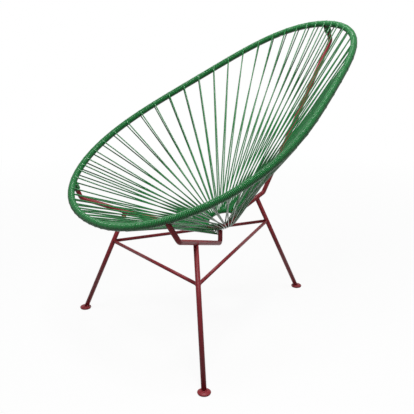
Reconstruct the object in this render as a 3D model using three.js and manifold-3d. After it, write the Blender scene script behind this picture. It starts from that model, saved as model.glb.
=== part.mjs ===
// Lounge chair with a bucket seat strung from cord: an open rim hoop and a small seat ring,
// both of steel rod, carried by three bent brackets on a braced three-legged base.
// Millimetres. X runs across the chair (+X is the sitter's left), -Y is the front, +Z is up.
import * as THREE from 'three';
import { mergeVertices } from 'three/addons/utils/BufferGeometryUtils.js';
import Module from 'manifold-3d';

const wasm = await Module();
wasm.setup();

// Rim hoop: one closed rod, bent to an egg-shaped curve that rises to the back.
const rimHalfWidth = 354;
const rimHalfLength = 442;
const rimHalfRise = 246;
const rimMiddleY = -63.7;
const rimMiddleHeight = 641.4;
const rimRodDiameter = 12;
// Harmonics of the curve, as shares of the half width, half length and half rise.
const rimAcrossShares = [0.9621, 0.0364, -0.0071, -0.0542, -0.0062];
const rimAlongShares = [-1.0163, 0.0158, 0.0068, 0.0271, 0.009];
const rimRiseShares = [-0.9996, 0.0329, -0.0045, 0.0211, 0.0061];

// Seat ring: the small ring where all cords meet, tilted with its back edge up.
const ringHalfWidth = 48;
const ringHalfLength = 48.5;
const ringMiddleY = -42.5;
const ringMiddleHeight = 324.7;
const ringTiltShare = 0.374; // rise per unit of length towards the back
const ringRodDiameter = 10;

// Cord.
const cordDiameter = 4;
const seatGap = 0.3; // least distance between two pieces that touch
const ribPitch = 22;
const ribDepth = 1.1;
const pairSpread = 4.6; // along the rim, between the two strands of one loop
// Where the loops leave the rim, from the middle of the back (0) to the middle of the front (1).
const loopShares = [
  0, 0.0242, 0.0498, 0.0773, 0.1084, 0.1421, 0.1809, 0.2256, 0.2691, 0.3127,
  0.3574, 0.4013, 0.4445, 0.4877, 0.5295, 0.5727, 0.6159, 0.6554, 0.6921, 0.725,
  0.7495, 0.7719, 0.8, 0.845, 0.87, 0.892, 0.9145, 0.937, 0.9585, 0.979, 1,
];
const loopsPerLength = 3; // loops strung with one length of cord
const sleeveSteps = 4;
const turnSteps = 4;

// Base rods.
const bracketDiameter = 14;
const bracketBendRadius = 14;
const tipBendRadius = 10;
const legDiameter = 14;
const braceDiameter = 10;

// Front brackets. Both end in a tip that points up to the ring. The right one is bent up a
// little at its leg and so runs closer under the cords than the left one.
const frontSeatShare = 0.81; // where the bracket meets the rim, back to front
const frontBend = { outward: 12.5, back: 28.9, below: 57.4 }; // from its end on the rim
const frontLegShare = 0.355; // where the leg meets the long run, from its outer bend
const leftInnerBend = { across: 40.9, forward: 35.9, below: 59.4 }; // from the ring's middle
const rightInnerBend = { across: 36, forward: 34, below: 40.2 };
const frontTipDrop = 11.4; // from the ring's plane to the end of the bracket

// Rear bracket, in the middle plane.
const rearBend = { back: 26.7, below: 51 }; // from its end on the rim
const rearLowBend = { back: 133.4, above: 37.2 }; // from the ring's back edge
const rearLegShare = 0.221; // where the leg meets the low run, from its bend

// Legs and feet.
const frontFoot = { across: 315.1, forward: 358.5 };
const rearFoot = { back: 312.1 };
const frontBraceHeight = 249.7;
const rearBraceHeight = 278.6;
const footDiameter = 36;
const footHeight = 7.5;
const footEdge = 2.6;
const footCrown = 1.6;
const footLatheSteps = 28;

// Facets.
const rodSides = 8;
const cordSides = 6;
const bendSteps = 5;
const curveDivisions = 900;

const v = (x, y, z) => new THREE.Vector3(x, y, z);
const mirrored = (p) => v(-p.x, p.y, p.z);
const lerp = (a, b, f) => a.clone().lerp(b, f);

/** The rim's middle line, starting at the middle of the back and running over the right side. */
class RimCurve extends THREE.Curve {
  getPoint(t) {
    const angle = Math.PI * (1 + 2 * t);
    const sum = (shares, wave) => shares.reduce((s, share, k) => s + share * wave((k + 1) * angle), 0);
    return v(
      rimHalfWidth * sum(rimAcrossShares, Math.sin),
      rimMiddleY + rimHalfLength * sum(rimAlongShares, Math.cos),
      rimMiddleHeight + rimHalfRise * sum(rimRiseShares, Math.cos),
    );
  }
}

/** The seat ring's middle line, starting at its back edge and running over the right side. */
class RingCurve extends THREE.Curve {
  getPoint(t) {
    const angle = 2 * Math.PI * t;
    const tilt = Math.atan(ringTiltShare);
    const along = ringHalfLength * Math.cos(angle);
    return v(
      -ringHalfWidth * Math.sin(angle),
      ringMiddleY + along * Math.cos(tilt),
      ringMiddleHeight + along * Math.sin(tilt),
    );
  }
}

const rimCurve = new RimCurve();
const ringCurve = new RingCurve();
rimCurve.arcLengthDivisions = curveDivisions;
ringCurve.arcLengthDivisions = curveDivisions;
const ringMiddle = v(0, ringMiddleY, ringMiddleHeight);
const rimMiddle = v(0, rimMiddleY, rimMiddleHeight);

/** A closed solid from rings of points; consecutive rings are joined, the ends are capped. */
function solidFromRings(rings, closed = false) {
  const count = rings[0].length;
  const position = [];
  const index = [];
  rings.forEach((ring) => ring.forEach((p) => position.push(p.x, p.y, p.z)));
  const spans = closed ? rings.length : rings.length - 1;
  for (let i = 0; i < spans; i++) {
    const a = i * count;
    const b = ((i + 1) % rings.length) * count;
    for (let k = 0; k < count; k++) {
      const n = (k + 1) % count;
      index.push(a + k, a + n, b + n, a + k, b + n, b + k);
    }
  }
  if (!closed) {
    const last = (rings.length - 1) * count;
    for (let k = 1; k < count - 1; k++) {
      index.push(0, k + 1, k, last, last + k, last + k + 1);
    }
  }
  const geometry = new THREE.BufferGeometry();
  geometry.setAttribute('position', new THREE.Float32BufferAttribute(position, 3));
  geometry.setIndex(index);
  return geometry;
}

/** A regular section around a point, in the plane of two unit vectors. */
function section(point, across, up, radius, sides) {
  return Array.from({ length: sides }, (_, k) => {
    const angle = (2 * Math.PI * (k + 0.5)) / sides;
    return point.clone()
      .addScaledVector(across, radius * Math.cos(angle))
      .addScaledVector(up, radius * Math.sin(angle));
  });
}

/** A rod or cord along a line of points, with mitred joints. */
function rodAlong(points, radius, sides) {
  const runs = points.slice(1).map((p, i) => p.clone().sub(points[i]).normalize());
  let up = Math.abs(runs[0].z) < 0.9 ? v(0, 0, 1) : v(0, 1, 0);
  const rings = points.map((p, i) => {
    const before = runs[Math.max(i - 1, 0)];
    const after = runs[Math.min(i, runs.length - 1)];
    const tangent = before.clone().add(after).normalize();
    const across = new THREE.Vector3().crossVectors(tangent, up).normalize();
    up = new THREE.Vector3().crossVectors(across, tangent).normalize();
    return section(p, up, across, radius, sides);
  });
  return solidFromRings(rings);
}

/** Points of a bent rod: straight runs between corners, each corner rounded to its radius. */
function bentLine(points, radii) {
  const line = [points[0]];
  for (let i = 1; i < points.length - 1; i++) {
    const radius = radii[i - 1];
    const into = points[i].clone().sub(points[i - 1]).normalize();
    const out = points[i + 1].clone().sub(points[i]).normalize();
    const half = into.angleTo(out) / 2;
    const outward = into.clone().sub(out).normalize();
    const centre = points[i].clone().addScaledVector(outward, -radius / Math.cos(half));
    const start = points[i].clone().addScaledVector(into, -radius * Math.tan(half));
    const from = start.clone().sub(centre);
    const axis = new THREE.Vector3().crossVectors(into, out).normalize();
    for (let k = 0; k <= bendSteps; k++) {
      line.push(centre.clone().add(from.clone().applyAxisAngle(axis, (2 * half * k) / bendSteps)));
    }
  }
  line.push(points[points.length - 1]);
  return line;
}

/** A track of stations round a closed curve; every section faces the middle of the seat. */
class Track {
  constructor(curve, shares, middle) {
    this.points = shares.map((u) => curve.getPointAt(u));
    this.tangents = shares.map((u) => curve.getTangentAt(u));
    this.inward = this.points.map((p, i) => {
      const toMiddle = middle.clone().sub(p);
      return toMiddle.addScaledVector(this.tangents[i], -toMiddle.dot(this.tangents[i])).normalize();
    });
    this.side = this.points.map((_, i) => new THREE.Vector3()
      .crossVectors(this.tangents[i], this.inward[i]).normalize());
  }
  station(i, radius) {
    const k = ((i % this.points.length) + this.points.length) % this.points.length;
    return section(this.points[k], this.inward[k], this.side[k], radius, rodSides);
  }
  /** The section at any place between stations, on the straight run between them. */
  at(place, radius) {
    const i = Math.floor(place);
    const f = place - i;
    if (f === 0) return this.station(i, radius);
    const next = this.station(i + 1, radius);
    return this.station(i, radius).map((p, k) => lerp(p, next[k], f));
  }
  span(i) {
    const n = this.points.length;
    return this.points[((i % n) + n) % n].distanceTo(this.points[(((i + 1) % n) + n) % n]);
  }
}

function toManifold(geometry) {
  const bare = geometry.clone();
  for (const name of Object.keys(bare.attributes)) if (name !== 'position') bare.deleteAttribute(name);
  const merged = mergeVertices(bare);
  return new wasm.Manifold(new wasm.Mesh({
    numProp: 3,
    vertProperties: new Float32Array(merged.attributes.position.array),
    triVerts: new Uint32Array(merged.index.array),
  }));
}

function toGeometry(manifold) {
  const mesh = manifold.getMesh();
  const geometry = new THREE.BufferGeometry();
  const points = new Float32Array(mesh.numVert * 3);
  for (let i = 0; i < mesh.numVert; i++) {
    for (let k = 0; k < 3; k++) points[3 * i + k] = mesh.vertProperties[i * mesh.numProp + k];
  }
  geometry.setAttribute('position', new THREE.BufferAttribute(points, 3));
  geometry.setIndex(Array.from(mesh.triVerts));
  return geometry;
}

const part = new THREE.Group();

function add(name, geometry, colour, roughness, metalness) {
  const material = new THREE.MeshStandardMaterial({ color: colour, roughness, metalness });
  geometry.computeVertexNormals();
  const mesh = new THREE.Mesh(geometry, material);
  mesh.name = name;
  part.add(mesh);
}

const steelColour = 0x6e1f2b;
const cordColour = 0x1f7a3a;
const addSteel = (name, geometry) => add(name, geometry, steelColour, 0.4, 0.2);
const addCord = (name, geometry) => add(name, geometry, cordColour, 0.45, 0);

// Loops of cord: places on the rim and on the ring, once round from the back.
const halfLoops = loopShares.length - 1;
const loopCount = 2 * halfLoops;
const loopPlace = Array.from({ length: loopCount }, (_, j) => (
  j <= halfLoops ? loopShares[j] / 2 : 1 - loopShares[loopCount - j] / 2));
const lengthCount = loopCount / loopsPerLength;
const firstLoop = -(loopsPerLength - 1) / 2; // the first length lies over the middle of the back
const placeOf = (j) => {
  const turn = Math.floor(j / loopCount);
  return loopPlace[j - turn * loopCount] + turn;
};

// Stations of the rim: each length of cord starts half-way between two loops.
const borderPlace = (n) => {
  const j = firstLoop + n * loopsPerLength;
  return (placeOf(j - 1) + placeOf(j)) / 2;
};
const rimShares = [];
for (let n = 0; n < lengthCount; n++) {
  const from = borderPlace(n);
  const to = borderPlace(n + 1);
  for (let k = 0; k < sleeveSteps; k++) {
    const u = from + ((to - from) * k) / sleeveSteps;
    rimShares.push(((u % 1) + 1) % 1);
  }
}
const rimTrack = new Track(rimCurve, rimShares, rimMiddle);

// Rim hoop and seat ring.
const rimRadius = rimRodDiameter / 2;
const ringRadius = ringRodDiameter / 2;
const cordRadius = cordDiameter / 2;
const rimRod = solidFromRings(rimShares.map((_, i) => rimTrack.station(i, rimRadius)), true);
addSteel('rim_hoop', rimRod);

const ringShares = Array.from({ length: loopCount }, (_, j) => j / loopCount);
const ringTrack = new Track(ringCurve, ringShares, ringMiddle);
addSteel('seat_ring', solidFromRings(ringShares.map((_, i) => ringTrack.station(i, ringRadius)), true));

// Brackets: bent rods from the rim, under the cords, to the ring.
const bracketRadius = bracketDiameter / 2;
const legRadius = legDiameter / 2;
const braceRadius = braceDiameter / 2;
const rimSaddle = toManifold(solidFromRings(
  rimShares.map((_, i) => rimTrack.station(i, (rimRadius + seatGap) / Math.cos(Math.PI / rodSides))), true));

const turnRadius = (ringRadius + seatGap + cordRadius) / Math.cos(Math.PI / turnSteps / 2);
const woundRing = turnRadius + cordRadius + seatGap;
const ringPlane = (y) => ringMiddleHeight + (y - ringMiddleY) * ringTiltShare;

const leftRimEnd = rimCurve.getPointAt(1 - frontSeatShare / 2);
const leftCorner = leftRimEnd.clone().add(v(frontBend.outward, frontBend.back, -frontBend.below));
const besideRing = (bend) => ringMiddle.clone().add(v(bend.across, -bend.forward, -bend.below));
const tipOver = (inner) => v(inner.x, inner.y, ringPlane(inner.y) - frontTipDrop);
const leftInner = besideRing(leftInnerBend);
const leftJoint = lerp(leftCorner, leftInner, frontLegShare);
const leftLine = bentLine(
  [leftRimEnd, leftCorner, leftInner, tipOver(leftInner)],
  [bracketBendRadius, tipBendRadius],
);
const rightInner = mirrored(besideRing(rightInnerBend));
const rightJoint = mirrored(leftJoint);
const rightLine = bentLine(
  [mirrored(leftRimEnd), mirrored(leftCorner), rightJoint, rightInner, tipOver(rightInner)],
  [bracketBendRadius, bracketBendRadius, tipBendRadius],
);

const rearRimEnd = rimCurve.getPointAt(0);
const ringBack = ringCurve.getPointAt(0);
const ringUnderside = ringBack.z - woundRing;
const rearSlope = (ringBack.z + rearLowBend.above - ringUnderside) / rearLowBend.back;
const rearTip = v(0, ringBack.y, ringUnderside - bracketRadius * Math.hypot(1, rearSlope));
const rearCorner = v(0, rearRimEnd.y + rearBend.back, rearRimEnd.z - rearBend.below);
const rearLowCorner = v(0, ringBack.y + rearLowBend.back, ringBack.z + rearLowBend.above);
const rearLine = bentLine(
  [rearRimEnd, rearCorner, rearLowCorner, rearTip],
  [bracketBendRadius, bracketBendRadius],
);

const bracketSolid = (line) => toManifold(rodAlong(line, bracketRadius, rodSides)).subtract(rimSaddle);
addSteel('bracket_front_left', toGeometry(bracketSolid(leftLine)));
addSteel('bracket_front_right', toGeometry(bracketSolid(rightLine)));
addSteel('bracket_rear', toGeometry(bracketSolid(rearLine)));

// Legs: straight rods, saddled under the brackets and cut level above the feet.
const grow = (radius) => (radius + seatGap) / Math.cos(Math.PI / rodSides);
const bracketTool = {
  left: toManifold(rodAlong(leftLine, grow(bracketRadius), rodSides)),
  right: toManifold(rodAlong(rightLine, grow(bracketRadius), rodSides)),
  rear: toManifold(rodAlong(rearLine, grow(bracketRadius), rodSides)),
};
const footTop = footHeight + seatGap;
const groundSize = 2 * footDiameter;
const groundTool = (foot) => toManifold(new THREE.BoxGeometry(groundSize, groundSize, groundSize)
  .translate(foot.x, foot.y, footTop - groundSize / 2));

const legs = {
  left: { foot: v(frontFoot.across, -frontFoot.forward, 0), top: leftJoint },
  right: { foot: v(-frontFoot.across, -frontFoot.forward, 0), top: rightJoint },
  rear: { foot: v(0, rearFoot.back, 0), top: lerp(rearLowCorner, rearTip, rearLegShare) },
};
const legSolid = (side, radius) => toManifold(rodAlong([legs[side].foot, legs[side].top], radius, rodSides));
const cutLeg = (side) => legSolid(side, legRadius).subtract(bracketTool[side]).subtract(groundTool(legs[side].foot));
addSteel('leg_front_left', toGeometry(cutLeg('left')));
addSteel('leg_front_right', toGeometry(cutLeg('right')));
addSteel('leg_rear', toGeometry(cutLeg('rear')));

// Braces: three thinner rods that join the legs in a triangle.
const onLeg = (side, height) => {
  const { foot, top } = legs[side];
  return lerp(foot, top, height / top.z);
};
const node = {
  left: onLeg('left', frontBraceHeight),
  right: onLeg('right', frontBraceHeight),
  rear: onLeg('rear', rearBraceHeight),
};
const legTool = {
  left: legSolid('left', grow(legRadius)),
  right: legSolid('right', grow(legRadius)),
  rear: legSolid('rear', grow(legRadius)),
};
const braceSolid = (a, b, radius) => toManifold(rodAlong([node[a], node[b]], radius, rodSides));
const bareBrace = (a, b) => braceSolid(a, b, braceRadius).subtract(legTool[a]).subtract(legTool[b]);
const braceTool = (a, b) => braceSolid(a, b, grow(braceRadius));
addSteel('brace_front', toGeometry(bareBrace('left', 'right')));
addSteel('brace_left', toGeometry(bareBrace('left', 'rear').subtract(braceTool('left', 'right'))));
addSteel('brace_right', toGeometry(bareBrace('right', 'rear')
  .subtract(braceTool('left', 'right')).subtract(braceTool('left', 'rear'))));

// Feet: low round discs with a rounded edge and a slight crown.
const footRadius = footDiameter / 2;
const footProfile = [new THREE.Vector2(0, 0), new THREE.Vector2(footRadius - footEdge / 2, 0)];
for (let k = 0; k <= bendSteps; k++) {
  const angle = (Math.PI / 2) * (k / bendSteps);
  footProfile.push(new THREE.Vector2(
    footRadius - footEdge + footEdge * Math.cos(angle),
    footHeight - footCrown - footEdge + footEdge * Math.sin(angle),
  ));
}
footProfile.push(new THREE.Vector2(legDiameter, footHeight), new THREE.Vector2(0, footHeight));
const footSolid = (foot) => new THREE.LatheGeometry(footProfile, footLatheSteps)
  .rotateX(Math.PI / 2).translate(foot.x, foot.y, 0);
addSteel('foot_front_left', toGeometry(toManifold(footSolid(legs.left.foot))));
addSteel('foot_front_right', toGeometry(toManifold(footSolid(legs.right.foot))));
addSteel('foot_rear', toGeometry(toManifold(footSolid(legs.rear.foot))));

// Cord: each length is wound on its stretch of rim, and strung in loops round the ring.
const boreRadius = rimRadius + seatGap;
const woundRadius = boreRadius + cordDiameter;
const strandSeat = boreRadius + cordRadius;

/** The wound stretch of rim, ribbed, open at both ends over the rod. */
function sleeve(n) {
  const first = n * sleeveSteps;
  const last = first + sleeveSteps;
  const startPlace = first + seatGap / 2 / rimTrack.span(first);
  const endPlace = last - seatGap / 2 / rimTrack.span(last - 1);
  let length = 0;
  for (let i = first; i < last; i++) length += rimTrack.span(i);
  const ribs = Math.max(1, Math.round(length / ribPitch));
  const outer = [];
  for (let k = 0; k <= 2 * ribs; k++) {
    const place = startPlace + ((endPlace - startPlace) * k) / (2 * ribs);
    outer.push(rimTrack.at(place, woundRadius - (k % 2 ? 0 : ribDepth)));
  }
  const inner = [rimTrack.at(startPlace, boreRadius)];
  for (let i = first + 1; i < last; i++) inner.push(rimTrack.station(i, boreRadius));
  inner.push(rimTrack.at(endPlace, boreRadius));
  return solidFromRings([...outer, ...inner.reverse()], true);
}

/** One loop: from the rim down to the ring, round the inside of its rod, and back up. */
function loop(j, sideShift) {
  const k = ((j % loopCount) + loopCount) % loopCount;
  const u = loopPlace[k];
  const rim = rimCurve.getPointAt(u);
  const rimRun = rimCurve.getTangentAt(u);
  const ring = ringTrack.points[k];
  const ringRun = ringTrack.tangents[k];
  const strand = ring.clone().sub(rim).normalize();
  const rimUp = new THREE.Vector3().crossVectors(rimRun, strand).normalize();
  if (rimUp.z < 0) rimUp.negate();
  const ringUp = new THREE.Vector3().crossVectors(ringRun, strand).normalize();
  if (ringUp.dot(rimUp) < 0) ringUp.negate();
  const inward = new THREE.Vector3().crossVectors(ringRun, ringUp).normalize();
  if (inward.dot(strand) < 0) inward.negate();
  const points = [rim.clone().addScaledVector(rimUp, strandSeat).addScaledVector(rimRun, pairSpread / 2)];
  for (let i = 0; i <= turnSteps; i++) {
    const angle = (Math.PI * i) / turnSteps;
    points.push(ring.clone()
      .addScaledVector(ringUp, turnRadius * Math.cos(angle))
      .addScaledVector(inward, turnRadius * Math.sin(angle)));
  }
  points.push(rim.clone().addScaledVector(rimUp, -strandSeat)
    .addScaledVector(rimRun, -pairSpread / 2 - sideShift));
  return rodAlong(points, cordRadius, cordSides);
}

const sleeveCuts = wasm.Manifold.union([bracketTool.left, bracketTool.right, bracketTool.rear]);
const besideBracket = bracketRadius + cordRadius + 2 * seatGap - pairSpread / 2;
const lengthName = (n) => {
  if (n === 0) return 'cord_back';
  if (2 * n === lengthCount) return 'cord_front';
  const right = 2 * n < lengthCount;
  const number = right ? n : lengthCount - n;
  return `cord_${right ? 'right' : 'left'}_${String(number).padStart(2, '0')}`;
};
for (let n = 0; n < lengthCount; n++) {
  const strung = [];
  for (let k = 0; k < loopsPerLength; k++) {
    const j = firstLoop + n * loopsPerLength + k;
    strung.push(toManifold(loop(j, j === 0 ? besideBracket : 0)));
  }
  const wound = toManifold(sleeve(n)).subtract(sleeveCuts);
  addCord(lengthName(n), toGeometry(wasm.Manifold.union([wound, ...strung])));
}

// The origin lies on the floor, under the middle of the chair's outline.
part.updateMatrixWorld(true);
const outline = new THREE.Box3().setFromObject(part);
const middleY = (outline.min.y + outline.max.y) / 2;
part.children.forEach((mesh) => mesh.geometry.translate(0, -middleY, -outline.min.z));

export default part;
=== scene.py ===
"""Lounge chair with a bucket seat of cord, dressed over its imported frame. Metres, +Z up."""
import bisect
import logging
import math
import random
from collections.abc import Callable
from dataclasses import dataclass
from enum import Enum
from functools import cached_property

import bmesh
import bpy
from mathutils import Matrix, Vector


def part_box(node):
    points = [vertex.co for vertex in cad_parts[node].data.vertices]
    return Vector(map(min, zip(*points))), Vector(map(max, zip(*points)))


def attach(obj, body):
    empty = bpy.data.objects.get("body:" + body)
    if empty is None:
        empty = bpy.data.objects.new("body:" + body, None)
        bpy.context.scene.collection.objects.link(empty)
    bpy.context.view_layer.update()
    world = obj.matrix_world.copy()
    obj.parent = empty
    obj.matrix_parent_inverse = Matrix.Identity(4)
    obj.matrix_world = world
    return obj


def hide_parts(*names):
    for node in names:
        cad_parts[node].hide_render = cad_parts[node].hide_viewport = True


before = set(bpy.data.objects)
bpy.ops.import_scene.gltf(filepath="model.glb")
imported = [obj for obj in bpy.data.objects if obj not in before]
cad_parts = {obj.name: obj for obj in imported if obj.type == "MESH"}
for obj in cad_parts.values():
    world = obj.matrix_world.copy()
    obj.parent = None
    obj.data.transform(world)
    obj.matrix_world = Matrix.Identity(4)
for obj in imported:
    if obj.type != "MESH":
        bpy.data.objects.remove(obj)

LOG = logging.getLogger("cord_chair")
UP = Vector((0, 0, 1))
QUARTER_TURN = math.pi / 2
HALF_TURN = math.pi
FULL_TURN = 2 * math.pi
MERGE_DISTANCE = 1e-5


def smooth_step(share: float) -> float:
    """Eases a share from 0 to 1."""
    share = min(max(share, 0.0), 1.0)
    return share * share * (3 - 2 * share)


def link(name: str, mesh: bpy.types.Mesh) -> bpy.types.Object:
    """Puts a mesh into the scene as an object at the origin.

    Args:
        name: name of the new object.
        mesh: its mesh.

    Returns:
        The object.
    """
    piece = bpy.data.objects.new(name, mesh)
    bpy.context.scene.collection.objects.link(piece)
    return piece


def dress(piece: bpy.types.Object, material: bpy.types.Material, node: str | None) -> None:
    """Gives a piece its only material, and lets it ride on the chair.

    Args:
        piece: the piece.
        material: its material.
        node: the node that the piece stands for, if any.
    """
    piece.data.materials.clear()
    piece.data.materials.append(material)
    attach(piece, "root")
    if node:
        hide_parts(node)
    LOG.info("made %s", piece.name)


def mesh_of(name: str, bm: bmesh.types.BMesh) -> bpy.types.Mesh:
    """Ends a bmesh as a smooth-shaded mesh with its faces outward.

    Args:
        name: name of the new mesh.
        bm: the bmesh, which is freed.

    Returns:
        The mesh.
    """
    bmesh.ops.recalc_face_normals(bm, faces=bm.faces)
    for face in bm.faces:
        face.smooth = True
    mesh = bpy.data.meshes.new(name)
    bm.to_mesh(mesh)
    bm.free()
    return mesh


def turned_mesh(name: str, outline: list[Vector], centre: Vector, steps: int) -> bpy.types.Mesh:
    """Turns an outline once round the upright line through a centre, as on a lathe.

    Args:
        name: name of the new mesh.
        outline: points of the outline, from the centre.
        centre: the centre.
        steps: number of steps in the turn.

    Returns:
        The turned mesh.
    """
    bm = bmesh.new()
    verts = [bm.verts.new(centre + point) for point in outline]
    edges = [bm.edges.new(pair) for pair in zip(verts, verts[1:])]
    bmesh.ops.spin(
        bm, geom=verts + edges, cent=centre, axis=UP, angle=FULL_TURN,
        steps=steps, use_merge=True, use_duplicate=False,
    )
    bmesh.ops.remove_doubles(bm, verts=bm.verts, dist=MERGE_DISTANCE)
    return mesh_of(name, bm)


def tube_mesh(
    name: str,
    points: list[Vector],
    radius: float,
    scales: list[float] | None = None,
    closed: bool = False,
    side_steps: int = 2,
) -> bpy.types.Mesh:
    """A round tube along a line of points.

    Args:
        name: name of the new mesh.
        points: the tube's middle line.
        radius: the tube's radius.
        scales: the radius at each point, as a share of the radius.
        closed: whether the line joins its own start.
        side_steps: detail of the round section; it has four sides and two for each step.

    Returns:
        The tube as a mesh.
    """
    curve = bpy.data.curves.new(name, "CURVE")
    curve.dimensions = "3D"
    curve.twist_mode = "MINIMUM"
    curve.bevel_depth = radius
    curve.bevel_resolution = side_steps
    curve.use_fill_caps = not closed
    spline = curve.splines.new("POLY")
    spline.points.add(len(points) - 1)
    spline.points.foreach_set("co", [c for p in points for c in (p.x, p.y, p.z, 1.0)])
    if scales:
        spline.points.foreach_set("radius", scales)
    spline.use_cyclic_u = closed
    spline.use_smooth = True
    holder = bpy.data.objects.new(name, curve)
    bpy.context.scene.collection.objects.link(holder)
    evaluated = holder.evaluated_get(bpy.context.evaluated_depsgraph_get())
    mesh = bpy.data.meshes.new_from_object(evaluated)
    mesh.name = name
    bpy.data.objects.remove(holder)
    bpy.data.curves.remove(curve)
    return mesh


class TurnSide(Enum):
    """Sides of the wound rim; the value is the angle round it, counted the way the cord is wound."""

    SITTER = 0.0
    BEHIND = HALF_TURN
    INSIDE = HALF_TURN + QUARTER_TURN


# Finishes

class NodeGroups:
    """Shader node groups that both finishes use, each built once."""

    mottle_detail = 4.0
    noise_middle = 0.5

    @staticmethod
    def _with_noise(
        name: str, inputs: tuple[str, ...], output: str,
    ) -> tuple[bpy.types.NodeTree, bpy.types.Node, bpy.types.Node, bpy.types.Node]:
        """Starts a group that has a noise on the piece's own coordinates.

        Args:
            name: name of the group.
            inputs: names of its inputs; Scale is the noise's.
            output: name of its output.

        Returns:
            The group, its entry, the noise and its exit.
        """
        tree = bpy.data.node_groups.new(name, "ShaderNodeTree")
        for socket in inputs:
            tree.interface.new_socket(socket, in_out="INPUT", socket_type="NodeSocketFloat")
        tree.interface.new_socket(output, in_out="OUTPUT", socket_type="NodeSocketFloat")
        entry = tree.nodes.new("NodeGroupInput")
        leave = tree.nodes.new("NodeGroupOutput")
        place = tree.nodes.new("ShaderNodeTexCoord")
        noise = tree.nodes.new("ShaderNodeTexNoise")
        tree.links.new(place.outputs["Object"], noise.inputs["Vector"])
        tree.links.new(entry.outputs["Scale"], noise.inputs["Scale"])
        return tree, entry, noise, leave

    @classmethod
    def mottle(cls) -> bpy.types.NodeTree:
        """Soft unevenness of a surface: a value round 1 for colour and gloss.

        Returns:
            The group, with inputs Scale and Amount and output Factor.
        """
        name = "soft_mottle"
        if name in bpy.data.node_groups:
            return bpy.data.node_groups[name]
        tree, entry, noise, leave = cls._with_noise(name, ("Scale", "Amount"), "Factor")
        noise.inputs["Detail"].default_value = cls.mottle_detail
        centred = tree.nodes.new("ShaderNodeMath")
        centred.operation = "SUBTRACT"
        centred.inputs[1].default_value = cls.noise_middle
        scaled = tree.nodes.new("ShaderNodeMath")
        scaled.operation = "MULTIPLY_ADD"
        scaled.inputs[2].default_value = 1.0
        tree.links.new(noise.outputs["Fac"], centred.inputs[0])
        tree.links.new(centred.outputs[0], scaled.inputs[0])
        tree.links.new(entry.outputs["Amount"], scaled.inputs[1])
        tree.links.new(scaled.outputs[0], leave.inputs["Factor"])
        return tree

    @classmethod
    def grain(cls) -> bpy.types.NodeTree:
        """Fine grain as a height.

        Returns:
            The group, with inputs Scale and Detail and output Height.
        """
        name = "fine_grain"
        if name in bpy.data.node_groups:
            return bpy.data.node_groups[name]
        tree, entry, noise, leave = cls._with_noise(name, ("Scale", "Detail"), "Height")
        tree.links.new(entry.outputs["Detail"], noise.inputs["Detail"])
        tree.links.new(noise.outputs["Fac"], leave.inputs["Height"])
        return tree


@dataclass(frozen=True)
class Finish:
    """A coloured, slightly uneven surface with a fine grain."""

    name: str
    colour: tuple[float, float, float]
    roughness: float
    specular: float
    mottle_scale: float
    mottle_amount: float
    gloss_scale: float
    gloss_amount: float
    grain_scale: float
    grain_depth: float
    grain_detail: float = 2.0

    def material(self) -> bpy.types.Material:
        """The finish as a material, built once.

        Returns:
            The material.
        """
        if self.name in bpy.data.materials:
            return bpy.data.materials[self.name]
        material = bpy.data.materials.new(self.name)
        material.use_nodes = True
        tree = material.node_tree
        shader = tree.nodes["Principled BSDF"]
        shader.inputs["Specular IOR Level"].default_value = self.specular
        mottle = self._place_group(
            tree, NodeGroups.mottle(), Scale=self.mottle_scale, Amount=self.mottle_amount,
        )
        tint = tree.nodes.new("ShaderNodeVectorMath")
        tint.operation = "SCALE"
        tint.inputs[0].default_value = self.colour
        tree.links.new(mottle.outputs["Factor"], tint.inputs["Scale"])
        tree.links.new(tint.outputs[0], shader.inputs["Base Color"])
        gloss = self._place_group(
            tree, NodeGroups.mottle(), Scale=self.gloss_scale, Amount=self.gloss_amount,
        )
        rough = tree.nodes.new("ShaderNodeMath")
        rough.operation = "MULTIPLY"
        rough.inputs[1].default_value = self.roughness
        tree.links.new(gloss.outputs["Factor"], rough.inputs[0])
        tree.links.new(rough.outputs[0], shader.inputs["Roughness"])
        grain = self._place_group(
            tree, NodeGroups.grain(), Scale=self.grain_scale, Detail=self.grain_detail,
        )
        bump = tree.nodes.new("ShaderNodeBump")
        bump.inputs["Distance"].default_value = self.grain_depth
        tree.links.new(grain.outputs["Height"], bump.inputs["Height"])
        tree.links.new(bump.outputs["Normal"], shader.inputs["Normal"])
        return material

    @staticmethod
    def _place_group(
        tree: bpy.types.NodeTree, group: bpy.types.NodeTree, **values: float,
    ) -> bpy.types.Node:
        """Places a node group in a material with its own values.

        Args:
            tree: the material's node tree.
            group: the group.
            **values: value of each input of the group.

        Returns:
            The placed node.
        """
        node = tree.nodes.new("ShaderNodeGroup")
        node.node_tree = group
        for socket, value in values.items():
            node.inputs[socket].default_value = value
        return node


POWDER_COAT = Finish(
    name="dark_red_powder_coat",
    colour=(0.3, 0.02, 0.03),
    roughness=0.45,
    specular=0.35,
    mottle_scale=25.0,
    mottle_amount=0.16,
    gloss_scale=60.0,
    gloss_amount=0.3,
    grain_scale=900.0,
    grain_depth=0.00006,
)
VINYL = Finish(
    name="green_vinyl_cord",
    colour=(0.009, 0.195, 0.042),
    roughness=0.2,
    specular=0.36,
    mottle_scale=30.0,
    mottle_amount=0.08,
    gloss_scale=120.0,
    gloss_amount=0.25,
    grain_scale=700.0,
    grain_depth=0.00008,
)


# Lines of the frame

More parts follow.
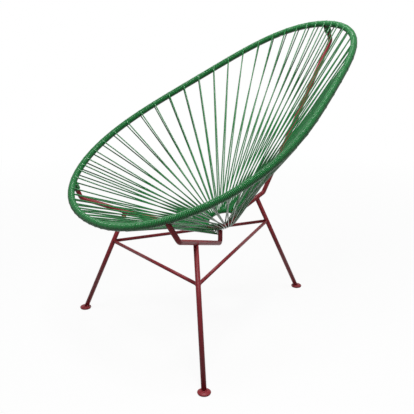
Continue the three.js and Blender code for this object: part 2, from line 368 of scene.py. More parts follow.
class ClosedLine:
    """A closed curve that is read by the share of its length."""

    divisions = 1800
    run_step = 1e-4

    def place(self, angle_share: float) -> Vector:
        """The point at a share of the curve's own angle."""
        raise NotImplementedError

    @cached_property
    def lengths(self) -> list[float]:
        """Length of the curve up to each of its divisions.

        Returns:
            The lengths, from 0 to the whole length.
        """
        points = [self.place(i / self.divisions) for i in range(self.divisions + 1)]
        lengths = [0.0]
        for before, after in zip(points, points[1:]):
            lengths.append(lengths[-1] + (after - before).length)
        return lengths

    @property
    def length(self) -> float:
        """Whole length of the curve."""
        return self.lengths[-1]

    def at(self, share: float) -> Vector:
        """The point at a share of the length.

        Args:
            share: the share; whole turns are left out.

        Returns:
            The point.
        """
        aim = (share % 1.0) * self.length
        i = min(max(bisect.bisect_right(self.lengths, aim) - 1, 0), self.divisions - 1)
        part = (aim - self.lengths[i]) / (self.lengths[i + 1] - self.lengths[i])
        return self.place((i + part) / self.divisions)

    def run(self, share: float) -> Vector:
        """The direction of the line at a share of the length."""
        return (self.at(share + self.run_step) - self.at(share - self.run_step)).normalized()


@dataclass(frozen=True)
class RimLine(ClosedLine):
    """Middle line of the rim hoop, from the middle of the back over the sitter's left side."""

    middle_y: float
    half_width: float = 0.354
    half_length: float = 0.442
    half_rise: float = 0.246
    middle_height: float = 0.6414
    across_shares: tuple[float, ...] = (0.9621, 0.0364, -0.0071, -0.0542, -0.0062)
    along_shares: tuple[float, ...] = (-1.0163, 0.0158, 0.0068, 0.0271, 0.009)
    rise_shares: tuple[float, ...] = (-0.9996, 0.0329, -0.0045, 0.0211, 0.0061)

    def place(self, angle_share: float) -> Vector:
        """The point at a share of the curve's own angle, as a sum of waves.

        Args:
            angle_share: the share.

        Returns:
            The point.
        """
        angle = HALF_TURN * (1 + 2 * angle_share)

        def total(shares: tuple[float, ...], wave: Callable[[float], float]) -> float:
            """Sum of the waves of one direction."""
            return sum(share * wave((k + 1) * angle) for k, share in enumerate(shares))

        return Vector((
            -self.half_width * total(self.across_shares, math.sin),
            self.middle_y + self.half_length * total(self.along_shares, math.cos),
            self.middle_height + self.half_rise * total(self.rise_shares, math.cos),
        ))


@dataclass(frozen=True)
class RingLine(ClosedLine):
    """Middle line of the seat ring, from its back edge over the sitter's left side."""

    middle: Vector
    half_width: float = 0.048
    half_length: float = 0.0485
    tilt_share: float = 0.374

    def place(self, angle_share: float) -> Vector:
        """The point at a share of the curve's own angle, on a tilted ellipse.

        Args:
            angle_share: the share.

        Returns:
            The point.
        """
        angle = FULL_TURN * angle_share
        tilt = math.atan(self.tilt_share)
        along = self.half_length * math.cos(angle)
        return self.middle + Vector((
            self.half_width * math.sin(angle),
            along * math.cos(tilt),
            along * math.sin(tilt),
        ))


# Steel rods

@dataclass
class BentRod:
    """A round steel rod through its corners, drawn and bent as on a bender.

    Its far end is square, or cut on a slope: the cut rises by end_slope times the way across.
    """

    corners: list[Vector]
    radius: float
    bend_radii: tuple[float, ...] = ()
    end_lift: float = 0.0
    end_slope: Vector | None = None
    sides: int = 28
    bend_steps: int = 12

    def mesh(self, name: str) -> bpy.types.Mesh:
        """Makes the rod: each straight run is extruded and each bend is spun.

        Args:
            name: name of the new mesh.

        Returns:
            The rod's mesh.
        """
        bm = bmesh.new()
        first = (self.corners[1] - self.corners[0]).normalized()
        turn = UP.rotation_difference(first).to_matrix().to_4x4()
        place = Matrix.Translation(self.corners[0]) @ turn
        bmesh.ops.create_circle(bm, cap_ends=True, radius=self.radius, segments=self.sides, matrix=place)
        rim = list(bm.edges)
        here = self.corners[0]
        for i in range(1, len(self.corners) - 1):
            into = (self.corners[i] - self.corners[i - 1]).normalized()
            out = (self.corners[i + 1] - self.corners[i]).normalized()
            half = into.angle(out) / 2
            bend_radius = self.bend_radii[i - 1]
            start = self.corners[i] - into * bend_radius * math.tan(half)
            centre = self.corners[i] - (into - out).normalized() * bend_radius / math.cos(half)
            rim = self._extrude(bm, rim, start - here)
            rim = self._spin(bm, rim, centre, into.cross(out).normalized(), 2 * half)
            here = self.corners[i] + out * bend_radius * math.tan(half)
        rim = self._extrude(bm, rim, self.corners[-1] - here)
        if self.end_slope:
            self._slope_end(rim)
        bmesh.ops.edgeloop_fill(bm, edges=rim)
        return mesh_of(name, bm)

    def _slope_end(self, rim: list[bmesh.types.BMEdge]) -> None:
        """Lengthens the far end to a slanting cut.

        Args:
            rim: the edges of the far end.
        """
        run = (self.corners[-1] - self.corners[-2]).normalized()
        for vert in {v for edge in rim for v in edge.verts}:
            vert.co += run * (self.end_lift + (vert.co - self.corners[-1]).dot(self.end_slope))

    @staticmethod
    def _extrude(
        bm: bmesh.types.BMesh, rim: list[bmesh.types.BMEdge], move: Vector,
    ) -> list[bmesh.types.BMEdge]:
        """Draws the open end along a straight run.

        Args:
            bm: the rod's bmesh.
            rim: the edges of the open end.
            move: the straight run.

        Returns:
            The edges of the new end.
        """
        grown = bmesh.ops.extrude_edge_only(bm, edges=rim)["geom"]
        verts = [g for g in grown if isinstance(g, bmesh.types.BMVert)]
        bmesh.ops.translate(bm, verts=verts, vec=move)
        return [g for g in grown if isinstance(g, bmesh.types.BMEdge)]

    def _spin(
        self, bm: bmesh.types.BMesh, rim: list[bmesh.types.BMEdge],
        centre: Vector, axis: Vector, angle: float,
    ) -> list[bmesh.types.BMEdge]:
        """Bends the open end round an axis.

        Args:
            bm: the rod's bmesh.
            rim: the edges of the open end.
            centre: the bend's centre.
            axis: direction of its axis.
            angle: how far it is bent.

        Returns:
            The edges of the new end.
        """
        verts = list({v for edge in rim for v in edge.verts})
        last = bmesh.ops.spin(
            bm, geom=rim + verts, cent=centre, axis=axis, angle=angle,
            steps=self.bend_steps, use_duplicate=False,
        )["geom_last"]
        return [g for g in last if isinstance(g, bmesh.types.BMEdge)]


@dataclass
class WeldBead:
    """A thin bead of weld where a rod ends on another rod."""

    radius: float = 0.0016
    steps: int = 40

    def on_rod(
        self, name: str, end: Vector, away: Vector, rod_radius: float,
        main_point: Vector, main_run: Vector, main_radius: float,
    ) -> bpy.types.Mesh:
        """The bead along the saddle of a rod that ends on a main rod.

        Args:
            name: name of the new mesh.
            end: where the rod's middle line meets the main rod's.
            away: direction from there along the rod.
            rod_radius: the rod's radius.
            main_point: a point on the main rod's middle line.
            main_run: direction of the main rod.
            main_radius: the main rod's radius.

        Returns:
            The bead's mesh.
        """
        across = away.cross(main_run).normalized()
        along = across.cross(away).normalized()
        lean = away - main_run * away.dot(main_run)
        line = []
        for i in range(self.steps):
            angle = FULL_TURN * i / self.steps
            start = end + rod_radius * (math.cos(angle) * across + math.sin(angle) * along)
            off = start - main_point
            flat = off - main_run * off.dot(main_run)
            toward = flat.dot(lean)
            inside = flat.length_squared - main_radius ** 2
            root = max(toward * toward - lean.length_squared * inside, 0.0)
            line.append(start + away * (math.sqrt(root) - toward) / lean.length_squared)
        return tube_mesh(name, line, self.radius, closed=True)

    def on_level(
        self, name: str, foot: Vector, away: Vector, rod_radius: float, height: float,
    ) -> bpy.types.Mesh:
        """The bead round a rod that stands on a level face.

        Args:
            name: name of the new mesh.
            foot: a point on the rod's middle line.
            away: direction of the rod.
            rod_radius: the rod's radius.
            height: height of the level face.

        Returns:
            The bead's mesh.
        """
        across = away.cross(UP)
        across = across.normalized() if across.length > 0 else Vector((1, 0, 0))
        along = across.cross(away).normalized()
        line = []
        for i in range(self.steps):
            angle = FULL_TURN * i / self.steps
            skin = foot + rod_radius * (math.cos(angle) * across + math.sin(angle) * along)
            line.append(skin + away * (height - skin.z) / away.z)
        return tube_mesh(name, line, self.radius, closed=True)


@dataclass
class BaseFrame:
    """Brackets, legs, braces and feet, all of steel rod and welded together.

    The tip cuts hold the lift and the outward slope of the cut that meets the cords under the ring.
    """

    rim: RimLine
    ring: RingLine
    bracket_radius: float = 0.007
    leg_radius: float = 0.007
    brace_radius: float = 0.005
    bend_radius: float = 0.014
    tip_bend_radius: float = 0.010
    wound_ring_radius: float = 0.0102
    clearance: float = 0.0003
    front_seat_share: float = 0.81
    front_bend: tuple[float, float, float] = (0.0125, 0.0289, -0.0574)
    front_leg_share: float = 0.355
    left_inner_bend: tuple[float, float, float] = (0.0409, -0.0359, -0.0594)
    right_inner_bend: tuple[float, float, float] = (0.036, -0.034, -0.0402)
    front_tip_drop: float = 0.0114
    left_tip_cut: tuple[float, float] = (0.0064, 0.5)
    right_tip_cut: tuple[float, float] = (0.0036, 0.35)
    rear_bend: tuple[float, float, float] = (0.0, 0.0267, -0.051)
    rear_low_bend: tuple[float, float, float] = (0.0, 0.1334, 0.0372)
    rear_leg_share: float = 0.221
    front_brace_height: float = 0.2497
    rear_brace_height: float = 0.2786
    weld_depth: float = 0.002
    foot_edge: float = 0.0026
    foot_crown: float = 0.0016
    foot_edge_steps: int = 8
    foot_sides: int = 48
    carried_nodes: tuple[str, ...] = ("rim_hoop", "seat_ring")

    def __post_init__(self) -> None:
        """Works out the middle lines of all rods."""
        self.finish = POWDER_COAT.material()
        self.bead = WeldBead()
        self.legs: dict[str, tuple[Vector, Vector]] = {}
        seat = self.rim.at(self.front_seat_share / 2)
        corner = seat + Vector(self.front_bend)
        inner = self.ring.middle + Vector(self.left_inner_bend)
        joint = corner.lerp(inner, self.front_leg_share)
        self.left_line = [seat, corner, inner, self.tip_over(inner)]
        inner = self.ring.middle + Vector(self.right_inner_bend)
        self.right_line = [self.mirrored(p) for p in (seat, corner, joint, inner, self.tip_over(inner))]
        ring_back = self.ring.at(0.0)
        under = ring_back.z - self.wound_ring_radius
        low = ring_back + Vector(self.rear_low_bend)
        slope = (low.z - under) / (low.y - ring_back.y)
        rear_tip = Vector((0, ring_back.y, under - self.bracket_radius * math.hypot(1, slope)))
        rear_seat = self.rim.at(0.0)
        self.rear_line = [rear_seat, rear_seat + Vector(self.rear_bend), low, rear_tip]
        self.leg_tops = {
            "front_left": joint,
            "front_right": self.mirrored(joint),
            "rear": low.lerp(rear_tip, self.rear_leg_share),
        }

    def tip_over(self, inner: Vector) -> Vector:
        """The end of a front bracket, straight over its inner bend."""
        plane = self.ring.middle.z + (inner.y - self.ring.middle.y) * self.ring.tilt_share
        return Vector((inner.x, inner.y, plane - self.front_tip_drop))

    @staticmethod
    def mirrored(point: Vector) -> Vector:
        """The point's mirror image on the sitter's other side."""
        return Vector((-point.x, point.y, point.z))

    def build(self) -> None:
        """Makes every rod, foot and weld of the base, and coats the two hidden rods."""
        wide, tight = self.bend_radius, self.tip_bend_radius
        brackets = {
            "bracket_front_left": (self.left_line, (wide, tight), self.left_tip_cut),
            "bracket_front_right": (self.right_line, (wide, wide, tight), self.right_tip_cut),
            "bracket_rear": (self.rear_line, (wide, wide), None),
        }
        for node, (line, bend_radii, tip_cut) in brackets.items():
            self._rod(node, line, self.bracket_radius, bend_radii, tip_cut)
        self._leg("front_left", self.left_line[1:3])
        self._leg("front_right", self.right_line[1:3])
        self._leg("rear", self.rear_line[2:4])
        ties = {
            "brace_front": ("front_left", "front_right"),
            "brace_left": ("front_left", "rear"),
            "brace_right": ("front_right", "rear"),
        }
        for name, (one, other) in ties.items():
            self._brace(name, one, other)
        for node in self.carried_nodes:
            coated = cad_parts[node]
            coated.data.materials.clear()
            coated.data.materials.append(self.finish)
            LOG.info("coated %s", node)

    def _dress(self, piece: bpy.types.Object, node: str | None = None) -> None:
        """Coats a piece of the frame."""
        dress(piece, self.finish, node)

    def _rod(
        self, node: str, line: list[Vector], radius: float, bend_radii: tuple[float, ...] = (),
        tip_cut: tuple[float, float] | None = None,
    ) -> None:
        """Makes a bent or straight rod that stands for a node.

        Args:
            node: the node.
            line: the rod's corners.
            radius: the rod's radius.
            bend_radii: radius of each bend.
            tip_cut: lift and outward slope of a slanting cut.
        """
        rod = BentRod(line, radius, bend_radii)
        if tip_cut:
            outward = line[-1] - self.ring.middle
            outward.z = 0
            lift, slope = tip_cut
            rod.end_lift, rod.end_slope = lift, outward.normalized() * slope
        self._dress(link(f"{node}_rod", rod.mesh(node)), node)

    def _leg(self, word: str, bracket_run: list[Vector]) -> None:
        """Makes a leg under its bracket, its foot and their welds.

        Args:
            word: the leg's place, as in the nodes' names.
            bracket_run: both ends of the straight run that the leg is welded to.
        """
        low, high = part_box(f"foot_{word}")
        foot = Vector(((low.x + high.x) / 2, (low.y + high.y) / 2, 0.0))
        top = self.leg_tops[word]
        self.legs[word] = (foot, top)
        up = (top - foot).normalized()
        face = high.z
        stand = foot + up * (face - self.clearance) / up.z
        reach = top - up * (self.bracket_radius - self.weld_depth)
        self._rod(f"leg_{word}", [stand, reach], self.leg_radius)
        self._foot(word, foot, (high.x - low.x) / 2, face)
        run = (bracket_run[1] - bracket_run[0]).normalized()
        bead = self.bead.on_rod(f"weld_leg_{word}", top, -up, self.leg_radius, top, run, self.bracket_radius)
        self._dress(link(f"weld_leg_{word}", bead))
        ring = self.bead.on_level(f"weld_foot_{word}", foot, up, self.leg_radius, face)
        self._dress(link(f"weld_foot_{word}", ring))

    def _brace(self, name: str, one: str, other: str) -> None:
        """Makes a brace between two legs, and its welds.

        Args:
            name: the brace's node.
            one: place of one leg.
            other: place of the other leg.
        """
        ends = []
        for word in (one, other):
            foot, top = self.legs[word]
            height = self.rear_brace_height if word == "rear" else self.front_brace_height
            ends.append(foot.lerp(top, height / top.z))
        run = (ends[1] - ends[0]).normalized()
        inset = self.leg_radius - self.weld_depth
        self._rod(name, [ends[0] + run * inset, ends[1] - run * inset], self.brace_radius)
        for word, end, away in ((one, ends[0], run), (other, ends[1], -run)):
            foot, top = self.legs[word]
            bead = self.bead.on_rod(
                f"weld_{name}_{word}", end, away, self.brace_radius,
                foot, (top - foot).normalized(), self.leg_radius,
            )
            self._dress(link(f"weld_{name}_{word}", bead))

    def _foot(self, word: str, place: Vector, radius: float, height: float) -> None:
        """Turns a foot disc: flat under, round at the edge, slightly crowned.

        Args:
            word: the leg's place, as in the nodes' names.
            place: middle of the disc's underside.
            radius: the disc's radius.
            height: the disc's height in its middle.
        """
        outline = [Vector((0, 0, 0)), Vector((radius - self.foot_edge / 2, 0, 0))]
        for k in range(self.foot_edge_steps + 1):
            angle = QUARTER_TURN * k / self.foot_edge_steps
            outline.append(Vector((
                radius - self.foot_edge + self.foot_edge * math.cos(angle), 0,
                height - self.foot_crown - self.foot_edge + self.foot_edge * math.sin(angle),
            )))
        outline += [Vector((2 * self.leg_radius, 0, height)), Vector((0, 0, height))]
        name = f"foot_{word}_disc"
        self._dress(link(name, turned_mesh(name, outline, place, self.foot_sides)), f"foot_{word}")


# Seat cord

@dataclass(frozen=True)
class Parting:
    """A place on the rim where the wound turns part round a rod, or close up beside a loop.

    The push is strongest beside the place and fades out at its reach. A softness lets it start
    from nothing at the place itself.
    """

    place: float
    angle: float
    half_gap: float
    reach: float
    narrowness: int
    softness: float = 0.0

    def shift(self, place: float, angle: float, pitch: float) -> float:
        """How far a turn moves along the rim at an angle.

        Args:
            place: the turn's own place along the rim.
            angle: the angle round the rim, counted on through the turns.
            pitch: advance of the winding in one turn.

        Returns:
            The shift along the rim.
        """
        off = angle - self.angle
        off -= FULL_TURN * round(off / FULL_TURN)
        centre = place - pitch * off / FULL_TURN - self.place
        if abs(centre) >= self.reach:
            return 0.0
        side = min(abs(centre) / self.softness, 1.0) if self.softness else 1.0
        push = self.half_gap * (1 - abs(centre) / self.reach) * side
        return math.copysign(push, centre * self.half_gap) * ((1 + math.cos(off)) / 2) ** self.narrowness


@dataclass
class SeatCord:
    """The seat's cord: wound on the rim, strung to the ring and back in loops.

    On the sitter's right side it is wound from the front to the back, outward over the sitter's
    side of the rim; the left side is its mirror image. Each loop leaves the winding behind the
    rim, crosses over the ring's rod, turns round its inside, and comes back from under it to the
    sitter's side of the rim, so its two strands cross on the way. The turns beside the tip of the
    left front bracket hang lower.
    """

    rim: RimLine
    ring: RingLine
    base: BaseFrame
    loops_per_length: int = 3
    cord_radius: float = 0.002
    wound_scale: float = 1.03
    pitch: float = 0.0042
    rim_rod_radius: float = 0.006
    ring_turn_radius: float = 0.0074
    ring_turn_advance: float = 0.0048
    end_gap: float = 0.0003
    raise_height: float = 0.0008
    settle_angle: float = math.radians(140)
    bracket_half_gap: float = 0.0034
    bracket_reach: float = 0.055
    bracket_narrowness: int = 3
    loop_reach: float = 0.026
    loop_narrowness: int = 2
    lashing_start: float = 0.0072
    lashing_turns: int = 5
    unevenness: float = 0.00025
    chance_seed: int = 11
    low_turns: tuple[tuple[int, float], ...] = ((24, 0.0128), (25, 0.0088), (26, 0.0045))
    turn_steps: int = 18
    least_steps: int = 2
    ring_steps: int = 10
    loop_shares: tuple[float, ...] = (
        0, 0.0242, 0.0498, 0.0773, 0.1084, 0.1421, 0.1809, 0.2256, 0.2691, 0.3127,
        0.3574, 0.4013, 0.4445, 0.4877, 0.5295, 0.5727, 0.6159, 0.6554, 0.6921, 0.725,
        0.7495, 0.7719, 0.8, 0.845, 0.87, 0.892, 0.9145, 0.937, 0.9585, 0.979, 1,
    )

    def __post_init__(self) -> None:
        """Works out the places of the loops, and where the winding parts or closes up."""
        self.finish = VINYL.material()
        self.chance = random.Random(self.chance_seed)
        half = len(self.loop_shares) - 1
        self.loop_count = 2 * half
        self.length_count = self.loop_count // self.loops_per_length
        self.loop_place = [
            self.loop_shares[j] / 2 if j <= half else 1 - self.loop_shares[self.loop_count - j] / 2
            for j in range(self.loop_count)
        ]
        self.wound_radius = self.rim_rod_radius + self.cord_radius * self.wound_scale
        seat_share = self.base.front_seat_share / 2
        self.by_brackets = [
            self._round_bracket(seat_share, self.base.left_line),
            self._round_bracket(1 - seat_share, self.base.right_line),
            self._round_bracket(0.0, self.base.rear_line),
            self._round_bracket(1.0, self.base.rear_line),
        ]
        past_the_ends = 2
        self.by_loops = [
            self._beside_loop(j) for j in range(-past_the_ends, self.loop_count + past_the_ends)
        ]

    def _round_bracket(self, share: float, line: list[Vector]) -> Parting:
        """Where the winding parts round a bracket.

        Args:
            share: share round the rim at which the bracket leaves it.
            line: the bracket's corners, from the rim.

        Returns:
            The parting.
        """
        away = (line[1] - line[0]).normalized()
        run, inward, face = self.rim_axes(share)
        lean = away - run * away.dot(run)
        offset = self.wound_radius * away.dot(run) / lean.length
        angle = math.atan2(-lean.dot(inward), lean.dot(face))
        return Parting(
            share * self.rim.length + offset, angle, self.bracket_half_gap,
            self.bracket_reach, self.bracket_narrowness,
        )

    def _beside_loop(self, j: int) -> Parting:
        """Where the winding closes the gap that a loop's missing turn leaves inside the rim."""
        return Parting(
            self.place_of(j) * self.rim.length, TurnSide.INSIDE.value, -self.pitch / 2,
            self.loop_reach, self.loop_narrowness, self.pitch / 2,
        )

    def ring_share(self, share: float) -> float:
        """The share round the ring that belongs to a share round the rim.

        Args:
            share: share round the rim.

        Returns:
            The share round the ring.
        """
        turn = math.floor(share)
        part = share - turn
        places = self.loop_place + [1.0]
        j = min(bisect.bisect_right(places, part) - 1, self.loop_count - 1)
        f = (part - places[j]) / (places[j + 1] - places[j])
        return (j + f) / self.loop_count

    def rim_axes(self, share: float) -> tuple[Vector, Vector, Vector]:
        """Directions at a place of the rim.

        Args:
            share: share round the rim.

        Returns:
            The directions along the rim, inward to the ring, and to the sitter.
        """
        run = self.rim.run(share)
        strand = self.ring.at(self.ring_share(share)) - self.rim.at(share)
        inward = (strand - run * strand.dot(run)).normalized()
        face = run.cross(inward)
        if face.z < 0:
            face.negate()
        return run, inward, face

    def place_of(self, j: int) -> float:
        """The share round the rim of a loop, counted on through the turns."""
        turn, rest = divmod(j, self.loop_count)
        return self.loop_place[rest] + turn

    def _on_rim(self, place: float, angle: float, lift: float, slide: float, straight: float) -> Vector:
        """A point of the wound cord.

        Args:
            place: place along the rim, in metres.
            angle: angle round the rim.
            lift: how far it stands off the winding.
            slide: shift along the rim on top of the partings' shifts.
            straight: 1 where the cord lies over a bracket's end, and 0 where it gives way to it.

        Returns:
            The point.
        """
        for parting in self.by_brackets:
            slide += parting.shift(place, angle, self.pitch) * (1 - straight)
        for parting in self.by_loops:
            slide += parting.shift(place, angle, self.pitch)
        share = (place + slide) / self.rim.length
        _, inward, face = self.rim_axes(share)
        out = self.wound_radius + lift
        return self.rim.at(share) + out * (math.cos(angle) * face - math.sin(angle) * inward)

    def _wind(
        self, line: list[Vector], start: tuple[float, float], end_place: float,
        lean_in: float, lean_out: float,
    ) -> None:
        """Adds wound turns to a line, up to the back of the rim.

        Args:
            line: the cord's middle line so far.
            start: place and angle where the turns start.
            end_place: place where they end.
            lean_in: slant of the cord as it arrives from the ring, or 0.
            lean_out: slant with which it leaves for the ring, or 0.
        """
        place_in, angle_in = start
        to_back = (TurnSide.BEHIND.value - angle_in) / FULL_TURN
        turns = max(0, round((end_place - place_in) / self.pitch - to_back))
        angle_out = TurnSide.BEHIND.value + turns * FULL_TURN
        turn = angle_out - angle_in
        steps = max(self.least_steps, round(turn / FULL_TURN * self.turn_steps))
        settle = min(self.settle_angle, turn / 2)
        for i in range(steps + 1):
            angle = angle_in + turn * i / steps
            place = place_in + (end_place - place_in) * i / steps
            came = min((angle - angle_in) / settle, 1.0)
            goes = min((angle_out - angle) / settle, 1.0)
            slide = self.wound_radius * settle * (
                lean_in * came * (1 - came) ** 2 - lean_out * goes * (1 - goes) ** 2
            )
            straight = 0.0
            if lean_in:
                straight = 1 - smooth_step(came)
            if lean_out:
                straight = max(straight, 1 - smooth_step(goes))
            line.append(self._on_rim(place, angle, self.raise_height * straight, slide, straight))

    def _turn_round_ring(self, j: int, strand: Vector, face: Vector, on_left: bool) -> list[Vector]:
        """The half turn of a loop round the ring's rod, from above to below.

        Args:
            j: the loop.
            strand: direction from the rim to the ring.
            face: direction to the sitter.
            on_left: whether the length of cord is on the sitter's left side.

        Returns:
            The points of the half turn.
        """
        share = j / self.loop_count
        middle = self.ring.at(share)
        ring_run = self.ring.run(share)
        up = ring_run.cross(strand).normalized()
        if up.dot(face) < 0:
            up.negate()
        inward = ring_run.cross(up).normalized()
        if inward.dot(strand) < 0:
            inward.negate()
        radius = self.ring_turn_radius + self.chance.uniform(-1, 1) * self.unevenness
        drop = dict(self.low_turns).get(self.loop_count - j, 0.0) if on_left else 0.0
        points = []
        for i in range(self.ring_steps + 1):
            part = i / self.ring_steps
            angle = HALF_TURN * part
            points.append(
                middle + radius * (math.cos(angle) * up + math.sin(angle) * inward)
                + ring_run * self.ring_turn_advance * (part - 0.5) - up * drop * smooth_step(part)
            )
        return points

    def length_line(self, number: int) -> tuple[list[Vector], list[float]]:
        """The middle line of one length of cord, with its thickness.

        Args:
            number: the length, counted from the middle of the back over the left side.

        Returns:
            The points, and the thickness at each as a share of the cord's.
        """
        on_left = 0 < 2 * number < self.length_count
        if on_left:
            number = self.length_count - number
        strand_offset = self.pitch / 4
        first = number * self.loops_per_length - (self.loops_per_length - 1) // 2
        last = first + self.loops_per_length
        around = self.rim.length
        start = around * (self.place_of(first - 1) + self.place_of(first)) / 2 + self.end_gap / 2
        finish = around * (self.place_of(last - 1) + self.place_of(last)) / 2 - self.end_gap / 2
        line: list[Vector] = []
        scales: list[float] = []
        place, angle, lean_in = start, TurnSide.BEHIND.value, 0.0
        for j in range(first, last):
            share = self.place_of(j)
            run, inward, face = self.rim_axes(share)
            strand = (self.ring.at(j / self.loop_count) - self.rim.at(share)).normalized()
            slant = strand.dot(run) / strand.dot(inward)
            middle = share * around + self.chance.uniform(-1, 1) * self.unevenness
            self._wind(line, (place, angle), middle - strand_offset, lean_in, slant)
            scales += [self.wound_scale] * (len(line) - len(scales))
            line += self._turn_round_ring(j, strand, face, on_left)
            scales += [1.0] * (len(line) - len(scales))
            place, angle, lean_in = middle + strand_offset, TurnSide.SITTER.value, -slant
        self._wind(line, (place, angle), finish, lean_in, 0.0)
        scales += [self.wound_scale] * (len(line) - len(scales))
        if on_left:
            line = [self.base.mirrored(point) for point in line]
        return line, scales

    def _lash(self, name: str, bracket: list[Vector]) -> None:
        """Winds a few turns of cord round the top of a bracket, next to the wound rim.

        Args:
            name: name of the new piece.
            bracket: the bracket's corners, from the rim.
        """
        away = (bracket[1] - bracket[0]).normalized()
        across = away.orthogonal().normalized()
        along = away.cross(across)
        out = self.base.bracket_radius + self.cord_radius * self.wound_scale
        points = []
        for i in range(self.lashing_turns * self.turn_steps + 1):
            angle = FULL_TURN * i / self.turn_steps
            reach = self.lashing_start + self.pitch * i / self.turn_steps
            side = math.cos(angle) * across + math.sin(angle) * along
            points.append(bracket[0] + away * reach + out * side)
        scales = [self.wound_scale] * len(points)
        dress(link(name, tube_mesh(name, points, self.cord_radius, scales)), self.finish, None)

    def node_name(self, number: int) -> str:
        """The node that a length of cord stands for.

        Args:
            number: the length, counted from the middle of the back over the left side.

        Returns:
            The node's name.
        """
        if number == 0:
            return "cord_back"
        if 2 * number == self.length_count:
            return "cord_front"
        if 2 * number < self.length_count:
            return f"cord_left_{number:02d}"
        return f"cord_right_{self.length_count - number:02d}"

    def build(self) -> None:
        """Makes every length of cord, and the lashings on two brackets."""
        total = 0.0
        for number in range(self.length_count):
            node = self.node_name(number)
            line, scales = self.length_line(number)
            total += sum((after - before).length for before, after in zip(line, line[1:]))
            strung = link(f"{node}_strung", tube_mesh(node, line, self.cord_radius, scales))
            dress(strung, self.finish, node)
        self._lash("lashing_front_right", self.base.right_line)
        self._lash("lashing_rear", self.base.rear_line)
        LOG.info("seat cord: %d loops, %.1f m of cord", self.loop_count, total)


# Studio

@dataclass(frozen=True)
class SoftLamp:
    """A square soft lamp that faces the middle of the chair."""

    name: str
    place: tuple[float, float, float]
    size: float
    power: float
    aim: tuple[float, float, float] = (0.0, 0.0, 0.5)

    def hang(self) -> None:
        """Adds the lamp to the scene."""
        data = bpy.data.lights.new(self.name, "AREA")
        data.size = self.size
        data.energy = self.power
        lamp = bpy.data.objects.new(self.name, data)
        lamp.location = self.place
        lamp.rotation_euler = (Vector(self.aim) - Vector(self.place)).to_track_quat("-Z", "Y").to_euler()
        bpy.context.scene.collection.objects.link(lamp)


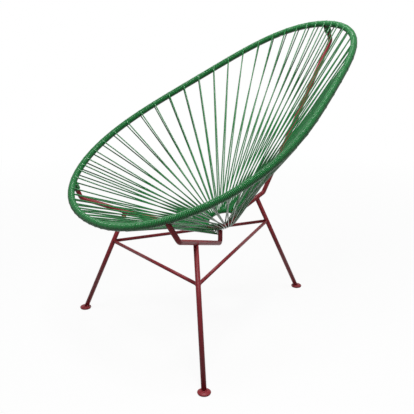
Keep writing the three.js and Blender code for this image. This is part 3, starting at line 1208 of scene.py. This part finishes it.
@dataclass
class Studio:
    """Pale floor, soft light and the camera."""

    camera_place: tuple[float, float, float] = (1.3986, -1.1822, 0.9148)
    yaw: float = 0.8957
    pitch_down: float = 0.2936
    lens: float = 54.06
    sensor_width: float = 36.0
    nearest_seen: float = 0.05
    floor_radius: float = 6.0
    floor_curve: float = 1.5
    floor_curve_steps: int = 8
    floor_sides: int = 64
    wall_height: float = 4.0
    floor_glow_share: float = 0.93
    shadow_reach: float = 1.0
    white_from: float = 2.6
    floor_bounce: float = 0.2
    air_light: float = 0.16
    lamps: tuple[SoftLamp, ...] = (
        SoftLamp("key_light", place=(0.45, -0.45, 2.6), size=0.75, power=50.0),
        SoftLamp("fill_light", place=(2.6, -0.6, 1.6), size=1.2, power=2.5),
        SoftLamp("back_light", place=(-1.8, 1.6, 2.2), size=1.0, power=8.0),
    )

    def build(self) -> None:
        """Makes camera, floor, lamps and world."""
        self._camera()
        self._floor()
        for lamp in self.lamps:
            lamp.hang()
        self._world()
        LOG.info("studio ready")

    def _camera(self) -> None:
        """Sets the camera at the photograph's angle."""
        data = bpy.data.cameras.new("camera")
        data.sensor_width = self.sensor_width
        data.lens = self.lens
        data.clip_start = self.nearest_seen
        camera = bpy.data.objects.new("camera", data)
        camera.location = self.camera_place
        camera.rotation_euler = (QUARTER_TURN - self.pitch_down, 0.0, self.yaw)
        bpy.context.scene.collection.objects.link(camera)
        bpy.context.scene.camera = camera

    def _floor(self) -> None:
        """Makes a pale round floor that curves up to a far wall."""
        flat_reach = self.floor_radius - self.floor_curve
        outline = [Vector((0, 0, 0)), Vector((flat_reach, 0, 0))]
        for k in range(1, self.floor_curve_steps + 1):
            angle = QUARTER_TURN * k / self.floor_curve_steps
            outline.append(Vector((
                flat_reach + self.floor_curve * math.sin(angle), 0,
                self.floor_curve - self.floor_curve * math.cos(angle),
            )))
        outline.append(Vector((self.floor_radius, 0, self.wall_height)))
        mesh = turned_mesh("studio_floor", outline, Vector((0, 0, 0)), self.floor_sides)
        mesh.flip_normals()
        mesh.materials.append(self._floor_material())
        link("studio_floor", mesh)

    def _floor_material(self) -> bpy.types.Material:
        """White to the camera, with a soft shadow, and not seen from behind.

        Returns:
            The material.
        """
        material = bpy.data.materials.new("studio_white")
        material.use_nodes = True
        tree = material.node_tree
        tree.nodes.clear()
        out = tree.nodes.new("ShaderNodeOutputMaterial")
        diffuse = tree.nodes.new("ShaderNodeBsdfDiffuse")
        bounce = tree.nodes.new("ShaderNodeMapRange")
        bounce.inputs["To Min"].default_value = self.floor_bounce
        bounce.inputs["To Max"].default_value = 1.0
        glow = tree.nodes.new("ShaderNodeEmission")
        glow.inputs["Strength"].default_value = 1.0
        clear = tree.nodes.new("ShaderNodeBsdfTransparent")
        seen = self._seen_directly(tree)
        place = tree.nodes.new("ShaderNodeTexCoord")
        away = tree.nodes.new("ShaderNodeVectorMath")
        away.operation = "LENGTH"
        fade = tree.nodes.new("ShaderNodeMapRange")
        fade.inputs["From Min"].default_value = self.shadow_reach
        fade.inputs["From Max"].default_value = self.white_from
        fade.inputs["To Min"].default_value = self.floor_glow_share
        fade.inputs["To Max"].default_value = 1.0
        share = tree.nodes.new("ShaderNodeMath")
        share.operation = "MULTIPLY"
        geometry = tree.nodes.new("ShaderNodeNewGeometry")
        bright = tree.nodes.new("ShaderNodeMixShader")
        both = tree.nodes.new("ShaderNodeMixShader")
        tree.links.new(place.outputs["Object"], away.inputs[0])
        tree.links.new(away.outputs["Value"], fade.inputs["Value"])
        tree.links.new(fade.outputs["Result"], share.inputs[1])
        tree.links.new(seen, share.inputs[0])
        tree.links.new(seen, bounce.inputs["Value"])
        tree.links.new(bounce.outputs["Result"], diffuse.inputs["Color"])
        tree.links.new(share.outputs[0], bright.inputs["Fac"])
        tree.links.new(diffuse.outputs[0], bright.inputs[1])
        tree.links.new(glow.outputs[0], bright.inputs[2])
        tree.links.new(geometry.outputs["Backfacing"], both.inputs["Fac"])
        tree.links.new(bright.outputs[0], both.inputs[1])
        tree.links.new(clear.outputs[0], both.inputs[2])
        tree.links.new(both.outputs[0], out.inputs["Surface"])
        return material

    @staticmethod
    def _seen_directly(tree: bpy.types.NodeTree) -> bpy.types.NodeSocket:
        """Tells what the camera sees, also in a reflection or through glass, from what only lights.

        Args:
            tree: the node tree of the floor's material or of the world.

        Returns:
            A socket that is 1 for what is seen and 0 for light.
        """
        path = tree.nodes.new("ShaderNodeLightPath")
        mirror = tree.nodes.new("ShaderNodeMath")
        mirror.operation = "MAXIMUM"
        seen = tree.nodes.new("ShaderNodeMath")
        seen.operation = "MAXIMUM"
        tree.links.new(path.outputs["Is Glossy Ray"], mirror.inputs[0])
        tree.links.new(path.outputs["Is Transmission Ray"], mirror.inputs[1])
        tree.links.new(path.outputs["Is Camera Ray"], seen.inputs[0])
        tree.links.new(mirror.outputs[0], seen.inputs[1])
        return seen.outputs[0]

    def _world(self) -> None:
        """Even light from all round, white to the camera."""
        world = bpy.data.worlds.new("studio_air")
        bpy.context.scene.world = world
        world.use_nodes = True
        tree = world.node_tree
        air = tree.nodes["Background"]
        air.inputs["Color"].default_value = (1, 1, 1, 1)
        strength = tree.nodes.new("ShaderNodeMapRange")
        strength.inputs["To Min"].default_value = self.air_light
        strength.inputs["To Max"].default_value = 1.0
        tree.links.new(self._seen_directly(tree), strength.inputs["Value"])
        tree.links.new(strength.outputs["Result"], air.inputs["Strength"])


def main() -> None:
    """Builds the chair and its studio."""
    logging.basicConfig(level=logging.INFO)
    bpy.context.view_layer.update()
    bpy.context.scene.view_settings.view_transform = "Standard"
    Studio().build()
    low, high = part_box("seat_ring")
    ring = RingLine(middle=(low + high) / 2)
    rim_ahead_of_ring = 0.0212
    rim = RimLine(middle_y=ring.middle.y - rim_ahead_of_ring)
    base = BaseFrame(rim, ring)
    base.build()
    SeatCord(rim, ring, base).build()


if __name__ == "__main__":
    main()
